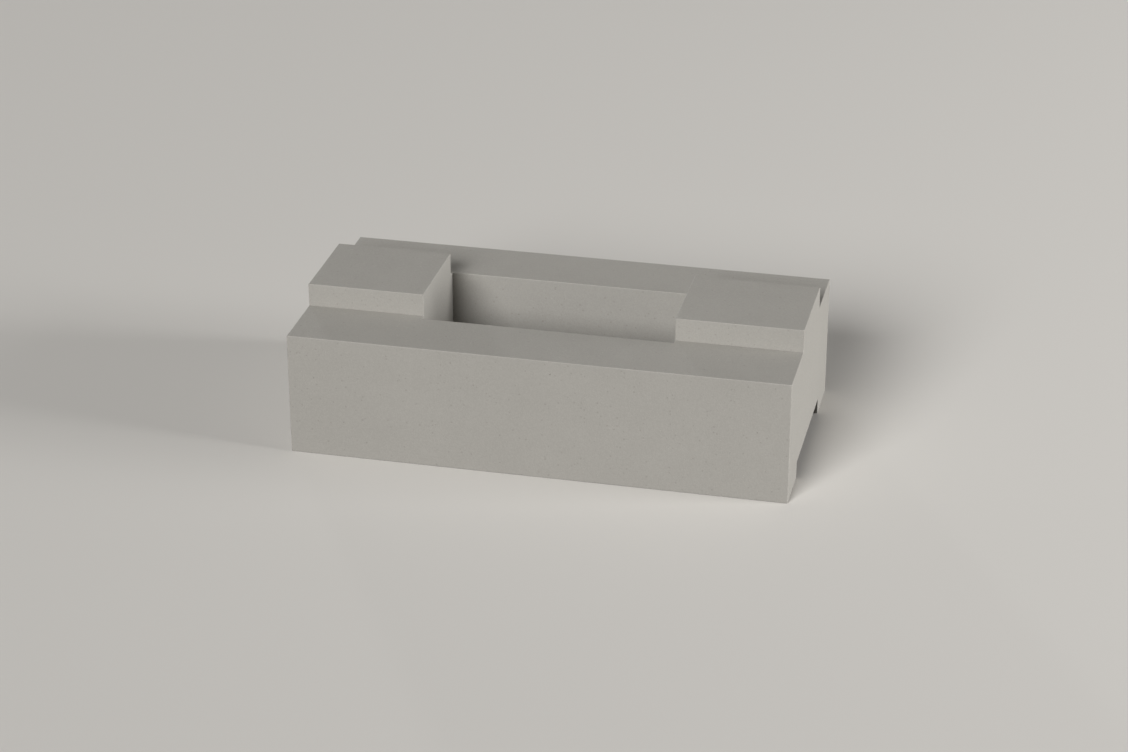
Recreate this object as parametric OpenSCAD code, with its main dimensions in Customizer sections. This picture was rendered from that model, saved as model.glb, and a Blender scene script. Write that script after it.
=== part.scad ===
// Interlocking concrete block.
// One casting: a plain body with a tongue along its top, a groove along its underside
// and a core hole right through the middle. The core parts the tongue into a pad at each
// end, and two pads of neighbouring blocks plug into the core of the block laid over them.
// Millimetres. X runs along the wall, Y across it and Z up. The origin is at the middle of
// the underside.

/* [Body] */
// Length along the wall
block_length = 400; // [320:1:600]
// Width across the wall
block_width = 203.2; // [180:0.1:300]
// Height from the feet to the shoulders that carry the next course
block_height = 101.6; // [60:0.1:240]

/* [Tongue] */
// Width of the tongue across the wall
tongue_width = 84.3; // [40:0.1:120]
// Height of the tongue above the shoulders
tongue_height = 18.7; // [8:0.1:40]
// Length of the tongue pad at the left end
left_pad_length = 95.2; // [40:0.1:140]
// Length of the tongue pad at the right end
right_pad_length = 101.6; // [40:0.1:140]

/* [Core] */
// Room between a pad of the course below and the core's wall, on each side
core_clearance = 4.6; // [1:0.1:10]

/* [Groove] */
// Width of the groove between the two feet
groove_width = 115.7; // [60:0.1:150]
// Depth of the groove above the feet
groove_depth = 13.7; // [4:0.1:30]

/* [Edges] */
// Size of the flat that breaks every outer edge
arris = 0.5; // [0.2:0.1:3]

/* [Hidden] */
core_length = block_length - left_pad_length - right_pad_length;
core_width = tongue_width + 2 * core_clearance;
core_middle_x = (left_pad_length - right_pad_length) / 2;
// A pad's root is buried this deep, so that it fills the broken edges under it
pad_root = 3 * arris;
// Cuts run this far past the faces that they open
overcut = 5;
concrete_grey = [0.64, 0.62, 0.59];

// Outlines

// A rectangle about the origin with its four corners cut off
function broken_rectangle(w, h) =
    let (x = w / 2, y = h / 2, a = arris)
    [[x - a, y], [x, y - a], [x, a - y], [x - a, -y], [a - x, -y], [-x, a - y], [-x, y - a], [a - x, y]];

// A trapezoid that widens upwards by one arris on each side and ends at height 0
function flaring_lip(w) = [[-w / 2, -arris], [w / 2, -arris], [w / 2 + arris, 0], [-w / 2 - arris, 0]];

// Extrusions about the origin: an outline drawn in Y-Z runs along X, and so on

module along_x(length) rotate([90, 0, 90]) linear_extrude(length, center = true) children();

module along_y(length) rotate([90, 0, 0]) linear_extrude(length, center = true) children();

module along_z(length) linear_extrude(length, center = true) children();

// A box about the origin with all of its edges broken
module broken_box(size) intersection() {
    along_x(size.x) polygon(broken_rectangle(size.y, size.z));
    along_y(size.y) polygon(broken_rectangle(size.x, size.z));
    along_z(size.z) polygon(broken_rectangle(size.x, size.y));
}

// What breaks the edges round a rectangular mouth that opens upwards at height 0
module mouth(length, width) intersection() {
    along_x(length + 2 * arris) polygon(flaring_lip(width));
    along_y(width + 2 * arris) polygon(flaring_lip(length));
}

// Pieces of the casting

module body() translate([0, 0, block_height / 2]) broken_box([block_length, block_width, block_height]);

// The tongue's pad at one end: side is -1 for the left and 1 for the right
module pad(side, length) {
    height = tongue_height + pad_root;
    translate([side * (block_length - length) / 2, 0, block_height + tongue_height - height / 2])
        broken_box([length, tongue_width, height]);
}

module groove() {
    cut_height = groove_depth + overcut;
    translate([0, 0, groove_depth - cut_height / 2])
        cube([block_length + 2 * overcut, groove_width, cut_height], center = true);
    mirror([0, 0, 1]) mouth(block_length + 2 * overcut, groove_width);
    for (side = [-1, 1])
        translate([side * block_length / 2, 0, 0])
            rotate([0, side * 90, 0]) mouth(2 * groove_depth, groove_width);
}

module core() translate([core_middle_x, 0, 0]) {
    cut_height = block_height + 2 * overcut;
    translate([0, 0, block_height / 2]) cube([core_length, core_width, cut_height], center = true);
    translate([0, 0, block_height]) mouth(core_length, core_width);
    translate([0, 0, groove_depth]) mirror([0, 0, 1]) mouth(core_length, core_width);
}

module block() color(concrete_grey) {
    difference() {
        body();
        groove();
        core();
    }
    pad(-1, left_pad_length);
    pad(1, right_pad_length);
}

block();
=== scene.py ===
"""Dresses a cast interlocking concrete block and sets it in a plain studio.

The solid model gives the block its shape. Here its straight edges are rounded and worn a little, pinholes
left by air in the mix are cut into its faces, and it gets the finish of smooth cast concrete. Lengths are
in metres.
"""

import math

import bmesh
import bpy
from bpy.props import FloatProperty, FloatVectorProperty, IntProperty, PointerProperty
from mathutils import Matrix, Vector, noise


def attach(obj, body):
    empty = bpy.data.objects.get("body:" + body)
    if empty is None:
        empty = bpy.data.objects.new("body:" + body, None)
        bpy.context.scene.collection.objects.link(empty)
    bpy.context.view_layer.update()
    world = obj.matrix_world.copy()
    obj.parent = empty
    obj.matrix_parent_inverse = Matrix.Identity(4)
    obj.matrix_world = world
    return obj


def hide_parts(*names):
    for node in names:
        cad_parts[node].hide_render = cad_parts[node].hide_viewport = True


bl_info = {
    "name": "Cast Concrete Block",
    "version": (1, 0, 0),
    "blender": (4, 5, 0),
    "location": "3D View > Sidebar > Concrete Block",
    "description": "Finishes a cast interlocking concrete block and sets it in a plain studio",
    "category": "Object",
}

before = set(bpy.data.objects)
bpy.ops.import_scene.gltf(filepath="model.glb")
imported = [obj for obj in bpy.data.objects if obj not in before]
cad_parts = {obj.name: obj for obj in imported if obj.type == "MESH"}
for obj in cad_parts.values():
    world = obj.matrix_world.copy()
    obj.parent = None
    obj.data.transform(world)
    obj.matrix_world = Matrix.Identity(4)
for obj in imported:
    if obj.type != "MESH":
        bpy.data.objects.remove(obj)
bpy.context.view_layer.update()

MM = 0.001
BLOCK_NODE = "block"
BLOCK_NAME = "cast_block"
ARRIS_ATTRIBUTE = "arris"
PINHOLE_ATTRIBUTE = "pinhole"


# Settings


def from_screen(red, green, blue):
    """A colour given as 8-bit screen values, in the linear values that shaders work with."""
    shares = [value / 255 for value in (red, green, blue)]
    return tuple(s / 12.92 if s <= 0.04045 else ((s + 0.055) / 1.055) ** 2.4 for s in shares)


def number(name, description, default, **options):
    """A property that holds a number."""
    return FloatProperty(name=name, description=description, default=default, **options)


def whole(name, description, default, **options):
    """A property that holds a whole number."""
    return IntProperty(name=name, description=description, default=default, **options)


def length(name, description, default, **limits):
    """A property that holds a length in metres."""
    return number(name, description, default, unit="LENGTH", precision=5, **limits)


def share(name, description, default):
    """A property that holds a share from 0 to 1."""
    return number(name, description, default, min=0, max=1, subtype="FACTOR")


def angle(name, description, degrees):
    """A property that holds an angle, with its default in degrees."""
    return number(name, description, math.radians(degrees), unit="ROTATION")


def power(name, description, watts):
    """A property that holds a lamp's power."""
    return number(name, description, watts, min=0, unit="POWER")


def colour(name, description, red, green, blue):
    """A property that holds a colour, with its default in 8-bit screen values."""
    linear = from_screen(red, green, blue)
    return FloatVectorProperty(
        name=name, description=description, default=linear, min=0, max=1, subtype="COLOR"
    )


class EdgeSettings(bpy.types.PropertyGroup):
    """Rounding and wear of the outer edges"""

    radius: length("Radius", "Radius of an unworn outer edge", 0.4 * MM, min=0)
    step: length("Step", "Distance between the points along an edge", 2.0 * MM, min=0.5 * MM)
    rows: whole("Rows", "Rows of faces across an edge", 4, min=1)
    wear: length("Wear", "How far the most worn stretches of an edge stand back", 0.25 * MM, min=0)
    long_wave: length("Long wave", "Length of the slow waves in the wear", 26 * MM)
    short_wave: length("Short wave", "Length of the quick waves in the wear", 4.5 * MM)


class PinholeSettings(bpy.types.PropertyGroup):
    """Pinholes in the faces. Each setting is an input of the tree that cuts them"""

    spacing: length("Spacing", "Least distance between two pinholes", 5 * MM)
    density: number("Density", "Pinholes sought in each square metre", 5500, min=0)
    level_loss: share("Level loss", "Share of them that level faces lack", 0.6)
    least_radius: length("Least radius", "Radius of the smallest pinholes", 0.18 * MM)
    most_radius: length("Most radius", "Radius of the largest pinholes", 0.7 * MM)
    rarity: number("Rarity", "How rare the large pinholes are", 5, min=1)
    narrowest: share("Narrowest", "Least width of a pinhole as a share of its length", 0.65)
    depth: share("Depth", "Most depth of a pinhole as a share of its radius", 0.8)
    shallowest: share("Shallowest", "Least depth as a share of the most", 0.6)
    seed: whole("Seed", "Seed of the pinholes' places and sizes", 7)


class FinishSettings(bpy.types.PropertyGroup):
    """Colours, grain and relief of the cast face, with painted shade inside its pinholes"""

    pale_paste: colour("Pale paste", "Cement paste where it dried palest", 168, 165, 159)
    dark_paste: colour("Dark paste", "Cement paste where it dried darkest", 152, 149, 143)
    pale_sand: colour("Pale sand", "Pale and fine grains of sand", 186, 182, 172)
    dark_sand: colour("Dark sand", "Dark grains of sand", 122, 118, 111)
    # Painted shade: the inside of each pinhole gets a darker colour that stands in for the shade falling in
    # it, and the contrast below sets how much it shows
    painted_hole_shade: colour("Hole shade", "Inside of a pinhole", 146, 143, 136)
    painted_shade_contrast: share("Hole contrast", "How much that shade shows", 0.8)
    worn_edge: colour("Worn edge", "Paste rubbed thin along an edge", 178, 175, 167)
    worn_contrast: share("Worn contrast", "How much the rubbed paste shows", 0.1)
    cloud_size: length("Cloud size", "Breadth of the slow changes of tone", 130 * MM)
    cloud_contrast: share("Cloud contrast", "How much the slow changes show", 0.2)
    blotch_size: length("Blotch size", "Breadth of the quick changes of tone", 22 * MM)
    blotch_contrast: share("Blotch contrast", "How much the quick changes show", 0.15)
    grit_size: length("Grit size", "Breadth of the finest grit", 1.1 * MM)
    grit_contrast: share("Grit contrast", "How much the finest grit shows", 0.5)
    dark_sand_spacing: length("Dark sand spacing", "Cells that may hold a dark grain each", 2.6 * MM)
    dark_sand_share: share("Dark sand share", "Share of those cells that hold one", 0.16)
    dark_sand_contrast: share("Dark sand contrast", "How much the dark grains show", 0.3)
    pale_sand_spacing: length("Pale sand spacing", "Cells that may hold a pale grain each", 1.6 * MM)
    pale_sand_share: share("Pale sand share", "Share of those cells that hold one", 0.22)
    pale_sand_contrast: share("Pale sand contrast", "How much the pale grains show", 0.4)
    fine_sand_spacing: length("Fine sand spacing", "Cells that may hold a fine grain each", 0.8 * MM)
    fine_sand_share: share("Fine sand share", "Share of those cells that hold one", 0.5)
    fine_sand_contrast: share("Fine sand contrast", "How much the fine grains show", 0.25)
    roughness: share("Roughness", "Mean roughness of the cast face", 0.88)
    gloss: share("Gloss", "Strength of the light that the face mirrors", 0.3)
    relief: length("Relief", "Height of the fine relief of the cast face", 0.12 * MM)


class StudioSettings(bpy.types.PropertyGroup):
    """Floor, light and camera. Each azimuth is a turn to the block's right, seen from its front"""

    floor: colour("Floor", "Colour of the studio floor", 216, 213, 208)
    floor_bounce: colour("Floor bounce", "Colour of the light that the floor throws back", 121, 117, 110)
    floor_radius: length("Floor radius", "Radius of the studio floor", 14.0)
    sky: colour("Sky", "Colour of the light from all round", 206, 204, 200)
    sky_strength: share("Sky strength", "Strength of the light from all round", 0.1)
    key_azimuth: angle("Key azimuth", "Key light's azimuth", -15)
    key_elevation: angle("Key elevation", "Key light's height above the horizon", 28.3)
    key_softness: angle("Key softness", "Angle that the key light spans", 28)
    key_strength: number("Key strength", "Key light's watts on each square metre", 3.19, min=0)
    rear_azimuth: angle("Rear azimuth", "Rear light's azimuth", 210)
    rear_elevation: angle("Rear elevation", "Rear light's height above the horizon", 1)
    rear_softness: angle("Rear softness", "Angle that the rear light spans", 4)
    rear_strength: number("Rear strength", "Rear light's watts on each square metre", 2.4, min=0)
    side_azimuth: angle("Side azimuth", "Side lamp's azimuth", 91)
    side_elevation: angle("Side elevation", "Side lamp's height above the horizon", 12)
    side_distance: length("Side distance", "Distance of the side lamp from the block", 4.5)
    side_width: length("Side width", "Width and height of the side lamp", 1.7)
    side_power: power("Side power", "Power of the side lamp", 209)
    azimuth: angle("Azimuth", "Camera's azimuth", 12.822)
    elevation: angle("Elevation", "Camera's height above the horizon", 25.828)
    distance: length("Distance", "Camera's distance from its aim", 2.3131)
    aim_height: length("Aim height", "Height of the camera's aim on the block's upright axis", 40.1 * MM)
    lens: number("Lens", "Focal length in millimetres", 91.11, unit="CAMERA")


# Nodes

# Radius of a grain of sand as a share of its cell: the least, and what the largest has beyond it
GRAIN_LEAST = 0.08
GRAIN_GROWTH = 0.32
# Share of a grain's radius inside which it shows fully
GRAIN_HEART = 0.6
# How far the limit between the cells with a grain and those without is spread
CHOICE_SPREAD = 0.05


class Value:
    """A node's output socket. Arithmetic on it adds Math nodes."""

    def __init__(self, nodes, socket):
        self.nodes = nodes
        self.socket = socket

    def beside(self, name):
        """Another output of the same node."""
        return Value(self.nodes, named_socket(self.socket.node.outputs, name))

    def __add__(self, other):
        return self.nodes.math("ADD", self, other)

    def __radd__(self, other):
        return self.nodes.math("ADD", other, self)

    def __sub__(self, other):
        return self.nodes.math("SUBTRACT", self, other)

    def __rsub__(self, other):
        return self.nodes.math("SUBTRACT", other, self)

    def __mul__(self, other):
        return self.nodes.math("MULTIPLY", self, other)

    def __rmul__(self, other):
        return self.nodes.math("MULTIPLY", other, self)

    def __pow__(self, other):
        return self.nodes.math("POWER", self, other)


def named_socket(sockets, key):
    """The socket with that place, identifier or name."""
    if isinstance(key, int):
        return sockets[key]
    for socket in sockets:
        if key == socket.identifier:
            return socket
    return sockets[key]


class Nodes:
    """Adds nodes to one node tree."""

    def __init__(self, tree):
        self.tree = tree

    def add(self, kind, settings, inputs, output=0):
        """Adds a node, sets it up, fills or links its inputs and returns one of its outputs."""
        node = self.tree.nodes.new(kind)
        for name, value in settings.items():
            setattr(node, name, value)
        for name, value in inputs.items():
            socket = named_socket(node.inputs, name)
            if isinstance(value, Value):
                self.tree.links.new(value.socket, socket)
            else:
                socket.default_value = value
        return Value(self, named_socket(node.outputs, output)) if node.outputs else None

    def math(self, operation, first, second):
        return self.add("ShaderNodeMath", {"operation": operation}, {0: first, 1: second})

    def ramp(self, value, low, high):
        """Rises smoothly from 0 to 1 as the value goes from low to high."""
        settings = {"interpolation_type": "SMOOTHSTEP"}
        return self.add("ShaderNodeMapRange", settings, {"Value": value, "From Min": low, "From Max": high})

    def mix(self, factor, first, second):
        """A mix of two colours."""
        inputs = {"Factor_Float": factor, "A_Color": first, "B_Color": second}
        return self.add("ShaderNodeMix", {"data_type": "RGBA"}, inputs, "Result_Color")

    def noise(self, place, wave, detail):
        """Cloudy noise about 0, from about -1 to 1, whose broadest waves are about as long as wave."""
        inputs = {"Vector": place, "Scale": 1 / wave, "Detail": detail}
        return (self.add("ShaderNodeTexNoise", {}, inputs, "Fac") - 0.5) * 2

    def shake(self, place, wave, reach):
        """A shift that wanders from place to place, by up to about reach each way."""
        inputs = {"Vector": place, "Scale": 1 / wave, "Detail": 1.0}
        cloud = self.add("ShaderNodeTexNoise", {}, inputs, "Color")
        middle = self.add("ShaderNodeVectorMath", {"operation": "SUBTRACT"}, {0: cloud, 1: (0.5, 0.5, 0.5)})
        return self.add("ShaderNodeVectorMath", {"operation": "SCALE"}, {0: middle, "Scale": 2 * reach})

    def random(self, seed, low, high):
        """A number from low to high that is drawn anew for each point."""
        inputs = {"Min_001": low, "Max_001": high, "Seed": seed}
        return self.add("FunctionNodeRandomValue", {"data_type": "FLOAT"}, inputs, "Value_001")

    def grains(self, place, spacing, part):
        """Grains of mixed sizes, mostly small, in that part of the cells that divide up space."""
        near = self.add("ShaderNodeTexVoronoi", {}, {"Vector": place, "Scale": 1 / spacing}, "Distance")
        draw = self.add("ShaderNodeSeparateColor", {}, {"Color": near.beside("Color")}, "Red")
        radius = GRAIN_LEAST + GRAIN_GROWTH * draw.beside("Green") ** 2
        chosen = 1 - self.ramp(draw, (1 - CHOICE_SPREAD) * part, (1 + CHOICE_SPREAD) * part)
        return chosen * (1 - self.ramp(near, GRAIN_HEART * radius, radius))

    def attribute(self, name):
        """A number stored on the mesh."""
        return self.add("ShaderNodeAttribute", {"attribute_name": name}, {}, "Fac")


def opaque(values):
    """A colour property's three values with full opacity."""
    return (*values, 1.0)


# Edges of the block

# Points of the solid's mesh that lie closer than this are one point
SAME_PLACE = 0.01 * MM
# A point this close to the level of a flat face lies on it, and cut points this close are one point
TOUCH = 0.001 * MM
# Decimals of a metre that are kept of the level of a flat face
LEVEL_DECIMALS = 6
# Share of a face's normal along an axis that makes it square to it
SQUARE_SHARE = 0.999
# Faces that meet at less than this angle are one flat face
FLAT_ANGLE = math.radians(1)
# Edges that stand out at more than this angle are rounded
OUTER_ANGLE = math.radians(30)
# Bevel profile that is an arc of a circle
ARC_PROFILE = 0.5
# Wear of an edge from 0 to 1: its mean, and how far the slow and the quick waves carry it from there
WEAR_MEAN = 0.45
SLOW_WEAR = 0.5
QUICK_WEAR = 0.45
# A point that is less free than this to move stays where it is
LEAST_FREEDOM = 0.05


def flat_levels(mesh):
    """For each axis, the places of the flat faces square to it."""
    levels = [set(), set(), set()]
    for face in mesh.faces:
        for axis in range(3):
            if abs(face.normal[axis]) > SQUARE_SHARE:
                levels[axis].add(round(face.verts[0].co[axis], LEVEL_DECIMALS))
    return [sorted(places) for places in levels]


def nearest(places, value):
    return min(places, key=lambda place: abs(place - value))


def sharpened_copy(solid):
    """A merged copy of the solid's mesh whose broken edges are drawn out sharp, and its flat levels."""
    bare = bpy.data.meshes.new("bare")
    triangles = [face.vertices[:] for face in solid.data.polygons]
    bare.from_pydata([vert.co for vert in solid.data.vertices], [], triangles)
    mesh = bmesh.new()
    mesh.from_mesh(bare)
    bpy.data.meshes.remove(bare)
    bmesh.ops.remove_doubles(mesh, verts=mesh.verts, dist=SAME_PLACE)
    mesh.normal_update()
    levels = flat_levels(mesh)
    for vert in mesh.verts:
        vert.co = [nearest(levels[axis], vert.co[axis]) for axis in range(3)]
    bmesh.ops.remove_doubles(mesh, verts=mesh.verts, dist=SAME_PLACE)
    bmesh.ops.dissolve_degenerate(mesh, edges=mesh.edges, dist=SAME_PLACE)
    mesh.normal_update()
    bmesh.ops.dissolve_limit(mesh, angle_limit=FLAT_ANGLE, verts=mesh.verts, edges=mesh.edges)
    mesh.normal_update()
    return mesh, levels


def split_evenly(edge, parts):
    """Splits an edge into equal parts and returns them."""
    pieces = [edge]
    start = edge.verts[0]
    for left in range(parts, 1, -1):
        piece, start = bmesh.utils.edge_split(edge, start, 1 / left)
        pieces.append(piece)
    return pieces


def round_edges(mesh, settings):
    """Rounds the outer edges in short steps, so that they can wear unevenly."""
    outer = [edge for edge in mesh.edges if edge.calc_face_angle_signed() > OUTER_ANGLE]
    pieces = []
    for edge in outer:
        pieces += split_evenly(edge, max(1, round(edge.calc_length() / settings.step)))
    made = bmesh.ops.bevel(
        mesh,
        geom=pieces,
        offset=settings.radius,
        offset_type="OFFSET",
        segments=settings.rows,
        profile=ARC_PROFILE,
        affect="EDGES",
        clamp_overlap=False,
    )
    for face in made["faces"]:
        face.smooth = True
    mesh.normal_update()


def wear_at(place, settings):
    """How worn an edge is at a place, from 0 to 1."""
    slow = noise.noise(place / settings.long_wave)
    quick = noise.noise(place / settings.short_wave)
    return min(1.0, max(0.0, WEAR_MEAN + SLOW_WEAR * slow + QUICK_WEAR * quick))


def wear_edges(mesh, levels, settings):
    """Sets the points of the rounded edges back unevenly and marks them. Flat faces stay flat."""
    worn = mesh.verts.layers.float.new(ARRIS_ATTRIBUTE)
    moves = []
    for vert in mesh.verts:
        flat = [abs(nearest(levels[axis], vert.co[axis]) - vert.co[axis]) < TOUCH for axis in range(3)]
        way = Vector([0 if flat[axis] else vert.normal[axis] for axis in range(3)])
        vert[worn] = 0.0 if any(flat) else 1.0
        if way.length > LEAST_FREEDOM:
            moves.append((vert, way.normalized() * settings.wear * wear_at(vert.co, settings)))
    for vert, move in moves:
        vert.co -= move


# Pinholes

# Breadth of the patches that hold more or fewer pinholes
PATCH_SIZE = 60 * MM
# Noise at which a patch holds none, and at which it holds its full number
PATCH_BARE = -0.5
PATCH_FULL = 0.4
# Ball that a pinhole is cut with, of radius 1: its subdivisions, and the waves and reach of its lumps
BALL_SPLITS = 2
LUMP_WAVE = 0.9
LUMP_REACH = 0.45


def pinhole_places(nodes, given):
    """Points on the faces that gather in patches and are rarer on level faces."""
    position = nodes.add("GeometryNodeInputPosition", {}, {})
    facing = nodes.add("GeometryNodeInputNormal", {}, {})
    upward = nodes.math("ABSOLUTE", nodes.add("ShaderNodeSeparateXYZ", {}, {0: facing}, "Z"), 0.0)
    patches = nodes.ramp(nodes.noise(position, PATCH_SIZE, detail=1), PATCH_BARE, PATCH_FULL)
    inputs = {
        "Mesh": given,
        "Distance Min": given.beside("Spacing"),
        "Density Max": given.beside("Density"),
        "Density Factor": patches * (1 - given.beside("Level loss") * upward),
        "Seed": given.beside("Seed"),
    }
    settings = {"distribute_method": "POISSON"}
    return nodes.add("GeometryNodeDistributePointsOnFaces", settings, inputs, "Points")


def pinhole_cutter(nodes):
    """A lumpy ball whose faces are marked as the inside of a pinhole, where the material paints shade."""
    ball = nodes.add("GeometryNodeMeshIcoSphere", {}, {"Radius": 1.0, "Subdivisions": BALL_SPLITS}, "Mesh")
    lumps = nodes.shake(nodes.add("GeometryNodeInputPosition", {}, {}), LUMP_WAVE, LUMP_REACH)
    lumpy = nodes.add("GeometryNodeSetPosition", {}, {"Geometry": ball, "Offset": lumps})
    smooth = nodes.add("GeometryNodeSetShadeSmooth", {}, {"Geometry": lumpy, "Shade Smooth": True})
    settings = {"data_type": "FLOAT", "domain": "FACE"}
    inputs = {"Geometry": smooth, "Name": PINHOLE_ATTRIBUTE, "Value": 1.0}
    return nodes.add("GeometryNodeStoreNamedAttribute", settings, inputs)


def pinhole_sizes(nodes, given):
    """Half the length, width and depth of each pinhole."""
    seed = given.beside("Seed")
    growth = nodes.random(seed + 1, 0.0, 1.0) ** given.beside("Rarity")
    reach = given.beside("Most radius") - given.beside("Least radius")
    radius = given.beside("Least radius") + growth * reach
    across = radius * nodes.random(seed + 2, given.beside("Narrowest"), 1.0)
    inward = radius * given.beside("Depth") * nodes.random(seed + 3, given.beside("Shallowest"), 1.0)
    return nodes.add("ShaderNodeCombineXYZ", {}, {"X": radius, "Y": across, "Z": inward})


def pinhole_turns(nodes, given, places):
    """Turns that set each pinhole square to its face, with its length to any side."""
    inputs = {"Axis": (0, 0, 1), "Angle": nodes.random(given.beside("Seed") + 4, 0.0, 2 * math.pi)}
    spin = nodes.add("FunctionNodeAxisAngleToRotation", {}, inputs)
    inputs = {"Rotation": places.beside("Rotation"), "Rotate By": spin}
    return nodes.add("FunctionNodeRotateRotation", {"rotation_space": "LOCAL"}, inputs)


def pinhole_tree():
    """A tree that cuts pinholes into a closed mesh and gives the whole its material."""
    tree = bpy.data.node_groups.new("pinholes", "GeometryNodeTree")
    sockets = {
        "Geometry": "NodeSocketGeometry",
        "Spacing": "NodeSocketFloat",
        "Density": "NodeSocketFloat",
        "Level loss": "NodeSocketFloat",
        "Least radius": "NodeSocketFloat",
        "Most radius": "NodeSocketFloat",
        "Rarity": "NodeSocketFloat",
        "Narrowest": "NodeSocketFloat",
        "Depth": "NodeSocketFloat",
        "Shallowest": "NodeSocketFloat",
        "Seed": "NodeSocketInt",
        "Material": "NodeSocketMaterial",
    }
    for name, kind in sockets.items():
        tree.interface.new_socket(name=name, in_out="INPUT", socket_type=kind)
    tree.interface.new_socket(name="Geometry", in_out="OUTPUT", socket_type="NodeSocketGeometry")
    nodes = Nodes(tree)
    given = nodes.add("NodeGroupInput", {}, {}, "Geometry")

    places = pinhole_places(nodes, given)
    inputs = {
        "Points": places,
        "Instance": pinhole_cutter(nodes),
        "Rotation": pinhole_turns(nodes, given, places),
        "Scale": pinhole_sizes(nodes, given),
    }
    cutters = nodes.add("GeometryNodeInstanceOnPoints", {}, inputs)
    balls = nodes.add("GeometryNodeRealizeInstances", {}, {"Geometry": cutters})

    # The cut leaves points almost on top of each other, which merge cleanly only between triangles
    settings = {"operation": "DIFFERENCE", "solver": "MANIFOLD"}
    pitted = nodes.add("GeometryNodeMeshBoolean", settings, {"Mesh 1": given, "Mesh 2": balls}, "Mesh")
    triangles = nodes.add("GeometryNodeTriangulate", {}, {"Mesh": pitted}, "Mesh")
    inputs = {"Geometry": triangles, "Distance": TOUCH}
    clean = nodes.add("GeometryNodeMergeByDistance", {}, inputs, "Geometry")
    real = nodes.add("GeometryNodeRealizeInstances", {}, {"Geometry": clean})
    inputs = {"Geometry": real, "Material": given.beside("Material")}
    finished = nodes.add("GeometryNodeSetMaterial", {}, inputs)
    nodes.add("NodeGroupOutput", {}, {"Geometry": finished})
    return tree


def run_tree(target, tree, values):
    """Runs a geometry tree on an object with these inputs and keeps the result as its plain mesh."""
    modifier = target.modifiers.new(tree.name, "NODES")
    modifier.node_group = tree
    for item in tree.interface.items_tree:
        if item.in_out == "INPUT" and item.name in values:
            modifier[item.identifier] = values[item.name]
    depsgraph = bpy.context.evaluated_depsgraph_get()
    made = bpy.data.meshes.new_from_object(target.evaluated_get(depsgraph), depsgraph=depsgraph)
    target.modifiers.remove(modifier)
    plain = target.data
    made.name = target.name
    target.data = made
    bpy.data.meshes.remove(plain)


# Concrete

# Reach of the shifts that make the grains uneven, as a share of the grit's size
UNEVENNESS = 0.3
# How blotches and dark grains change the roughness
BLOTCH_ROUGHNESS = 0.05
DARK_SAND_ROUGHNESS = -0.1
# Heights of the grit and the grains as shares of the relief
GRIT_HEIGHT = 0.5
FINE_SAND_HEIGHT = 0.3
PALE_SAND_HEIGHT = 0.4
DARK_SAND_HEIGHT = -0.3


def cast_concrete(finish):
    """Smooth cast concrete: cloudy cement paste with fine sand showing, matt, with a faint relief, and
    painted shade inside its pinholes.
    """
    material = bpy.data.materials.new("cast_concrete")
    material.use_nodes = True
    material.node_tree.nodes.clear()
    nodes = Nodes(material.node_tree)
    place = nodes.add("ShaderNodeTexCoord", {}, {}, "Object")

    clouds = finish.cloud_contrast * nodes.noise(place, finish.cloud_size, detail=3)
    blotches = nodes.noise(place, finish.blotch_size, detail=4)
    grit = nodes.noise(place, finish.grit_size, detail=2)
    tone = 0.5 + clouds + finish.blotch_contrast * blotches + finish.grit_contrast * grit
    paste = nodes.mix(tone, opaque(finish.dark_paste), opaque(finish.pale_paste))

    shift = nodes.shake(place, finish.grit_size, UNEVENNESS * finish.grit_size)
    uneven = nodes.add("ShaderNodeVectorMath", {"operation": "ADD"}, {0: place, 1: shift})
    dark_sand = nodes.grains(uneven, finish.dark_sand_spacing, finish.dark_sand_share)
    pale_sand = nodes.grains(uneven, finish.pale_sand_spacing, finish.pale_sand_share)
    fine_sand = nodes.grains(uneven, finish.fine_sand_spacing, finish.fine_sand_share)
    worn = nodes.attribute(ARRIS_ATTRIBUTE)
    # The pinhole faces get painted shade: a darker colour in place of the shade that falls inside them
    hole = nodes.attribute(PINHOLE_ATTRIBUTE)
    layers = (
        (finish.fine_sand_contrast, fine_sand, finish.pale_sand),
        (finish.pale_sand_contrast, pale_sand, finish.pale_sand),
        (finish.dark_sand_contrast, dark_sand, finish.dark_sand),
        (finish.worn_contrast, worn, finish.worn_edge),
        (finish.painted_shade_contrast, hole, finish.painted_hole_shade),
    )
    base = paste
    for contrast, mask, shade in layers:
        base = nodes.mix(contrast * mask, base, opaque(shade))

    rough = finish.roughness + BLOTCH_ROUGHNESS * blotches + DARK_SAND_ROUGHNESS * dark_sand
    coarse = PALE_SAND_HEIGHT * pale_sand + DARK_SAND_HEIGHT * dark_sand
    height = GRIT_HEIGHT * grit + FINE_SAND_HEIGHT * fine_sand + coarse
    bump = nodes.add("ShaderNodeBump", {}, {"Strength": 1.0, "Distance": finish.relief, "Height": height})
    inputs = {"Base Color": base, "Roughness": rough, "Normal": bump, "Specular IOR Level": finish.gloss}
    surface = nodes.add("ShaderNodeBsdfPrincipled", {}, inputs)
    nodes.add("ShaderNodeOutputMaterial", {}, {"Surface": surface})
    return material


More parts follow.
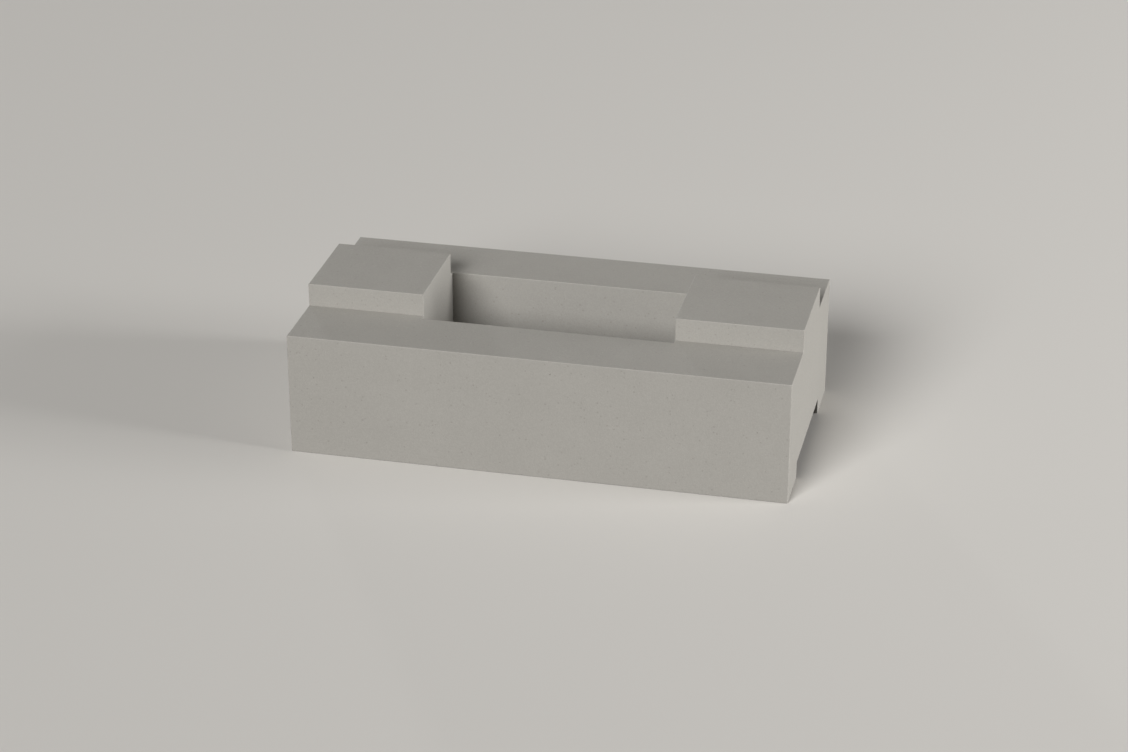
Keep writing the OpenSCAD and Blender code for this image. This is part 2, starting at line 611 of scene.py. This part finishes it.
class BLOCK_OT_cast(bpy.types.Operator):
    """Makes the block from the solid model, with worn edges, pinholes and its concrete finish"""

    bl_idname = "block.cast"
    bl_label = "Cast Block"

    def execute(self, context):
        edges = context.scene.block_edges
        pinholes = context.scene.block_pinholes
        mesh, levels = sharpened_copy(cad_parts[BLOCK_NODE])
        round_edges(mesh, edges)
        wear_edges(mesh, levels, edges)
        data = bpy.data.meshes.new(BLOCK_NAME)
        mesh.to_mesh(data)
        mesh.free()
        block = bpy.data.objects.new(BLOCK_NAME, data)
        context.scene.collection.objects.link(block)

        values = {"Material": cast_concrete(context.scene.block_finish)}
        for name in PinholeSettings.__annotations__:
            values[pinholes.bl_rna.properties[name].name] = getattr(pinholes, name)
        faces_before = len(block.data.polygons)
        run_tree(block, pinhole_tree(), values)
        if len(block.data.polygons) <= faces_before:
            raise RuntimeError("the pinholes were not cut")
        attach(block, "root")
        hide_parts(BLOCK_NODE)
        return {"FINISHED"}


# Studio

FLOOR_SIDES = 96
SENSOR_WIDTH = 36.0


def bearing(azimuth, elevation):
    """The direction from the block to something seen at that azimuth to its right and that elevation."""
    level = math.cos(elevation)
    return Vector((math.sin(azimuth) * level, -math.cos(azimuth) * level, math.sin(elevation)))


def seen_rays(nodes):
    """1 for the rays that show a surface or the sky itself, and 0 for those that only carry its light on."""
    camera = nodes.add("ShaderNodeLightPath", {}, {}, "Is Camera Ray")
    clear = nodes.math("MAXIMUM", camera.beside("Is Glossy Ray"), camera.beside("Is Transmission Ray"))
    return nodes.math("MAXIMUM", camera, clear)


def pale_floor(settings):
    """A plain round floor under the block. It looks pale and throws little light back up."""
    mesh = bmesh.new()
    bmesh.ops.create_circle(mesh, cap_ends=True, radius=settings.floor_radius, segments=FLOOR_SIDES)
    data = bpy.data.meshes.new("studio_floor")
    mesh.to_mesh(data)
    mesh.free()
    material = bpy.data.materials.new("studio_floor")
    material.use_nodes = True
    material.node_tree.nodes.clear()
    nodes = Nodes(material.node_tree)
    pale = nodes.add("ShaderNodeBsdfDiffuse", {}, {"Color": opaque(settings.floor)})
    dim = nodes.add("ShaderNodeBsdfDiffuse", {}, {"Color": opaque(settings.floor_bounce)})
    both = nodes.add("ShaderNodeMixShader", {}, {0: seen_rays(nodes), 1: dim, 2: pale})
    nodes.add("ShaderNodeOutputMaterial", {}, {"Surface": both})
    data.materials.append(material)
    floor = bpy.data.objects.new("studio_floor", data)
    bpy.context.scene.collection.objects.link(floor)


def place_light(lamp, back, distance):
    """Puts a lamp in that direction from the block, turned towards it and hidden from the camera."""
    light = bpy.data.objects.new(lamp.name, lamp)
    light.location = back * distance
    light.rotation_euler = back.to_track_quat("Z", "Y").to_euler()
    light.visible_camera = False
    bpy.context.scene.collection.objects.link(light)


def far_light(name, settings):
    """The far-off soft light of that name in the settings, which lights all of the floor alike."""
    lamp = bpy.data.lights.new(f"{name}_light", "SUN")
    lamp.angle = getattr(settings, f"{name}_softness")
    lamp.energy = getattr(settings, f"{name}_strength")
    back = bearing(getattr(settings, f"{name}_azimuth"), getattr(settings, f"{name}_elevation"))
    place_light(lamp, back, settings.floor_radius)


def side_lamp(settings):
    """A large square lamp off the block's right end. Its light fades along the block."""
    lamp = bpy.data.lights.new("side_lamp", "AREA")
    lamp.size = settings.side_width
    lamp.energy = settings.side_power
    place_light(lamp, bearing(settings.side_azimuth, settings.side_elevation), settings.side_distance)


def open_sky(settings):
    """Even light from all round, and a pale ground behind the floor's edge."""
    world = bpy.data.worlds.new("studio_sky")
    world.use_nodes = True
    world.node_tree.nodes.clear()
    nodes = Nodes(world.node_tree)
    sky = opaque(settings.sky)
    light = nodes.add("ShaderNodeBackground", {}, {"Color": sky, "Strength": settings.sky_strength})
    seen = nodes.add("ShaderNodeBackground", {}, {"Color": sky, "Strength": 1.0})
    both = nodes.add("ShaderNodeMixShader", {}, {0: seen_rays(nodes), 1: light, 2: seen})
    nodes.add("ShaderNodeOutputWorld", {}, {"Surface": both})
    bpy.context.scene.world = world


def photo_camera(settings):
    """A camera at the photograph's viewing angle, aimed at the block's upright axis."""
    data = bpy.data.cameras.new("photo_camera")
    data.sensor_fit = "HORIZONTAL"
    data.sensor_width = SENSOR_WIDTH
    data.lens = settings.lens
    camera = bpy.data.objects.new("photo_camera", data)
    back = bearing(settings.azimuth, settings.elevation)
    camera.location = Vector((0, 0, settings.aim_height)) + back * settings.distance
    camera.rotation_euler = back.to_track_quat("Z", "Y").to_euler()
    bpy.context.scene.collection.objects.link(camera)
    bpy.context.scene.camera = camera


class BLOCK_OT_studio(bpy.types.Operator):
    """Sets up the floor, the soft light and the camera"""

    bl_idname = "block.studio"
    bl_label = "Set Up Studio"

    def execute(self, context):
        settings = context.scene.block_studio
        pale_floor(settings)
        for name in ("key", "rear"):
            far_light(name, settings)
        side_lamp(settings)
        open_sky(settings)
        photo_camera(settings)
        context.scene.view_settings.view_transform = "Standard"
        return {"FINISHED"}


# Add-on

SETTINGS = {
    "block_edges": ("Edges", EdgeSettings),
    "block_pinholes": ("Pinholes", PinholeSettings),
    "block_finish": ("Finish", FinishSettings),
    "block_studio": ("Studio", StudioSettings),
}
OPERATORS = (BLOCK_OT_cast, BLOCK_OT_studio)


class VIEW3D_PT_concrete_block(bpy.types.Panel):
    """Lists the settings of the block and the studio, and what makes them"""

    bl_idname = "VIEW3D_PT_concrete_block"
    bl_label = "Concrete Block"
    bl_space_type = "VIEW_3D"
    bl_region_type = "UI"
    bl_category = "Concrete Block"

    def draw(self, context):
        for kind, (title, group) in SETTINGS.items():
            box = self.layout.box()
            box.label(text=title)
            for name in group.__annotations__:
                box.prop(getattr(context.scene, kind), name)
        for operator in OPERATORS:
            self.layout.operator(operator.bl_idname)


CLASSES = (*(group for _, group in SETTINGS.values()), *OPERATORS, VIEW3D_PT_concrete_block)


def register():
    for made in CLASSES:
        bpy.utils.register_class(made)
    for kind, (_, group) in SETTINGS.items():
        setattr(bpy.types.Scene, kind, PointerProperty(type=group))


def unregister():
    for kind in SETTINGS:
        delattr(bpy.types.Scene, kind)
    for made in reversed(CLASSES):
        bpy.utils.unregister_class(made)


def main():
    register()
    bpy.ops.block.cast()
    bpy.ops.block.studio()


if __name__ == "__main__":
    main()
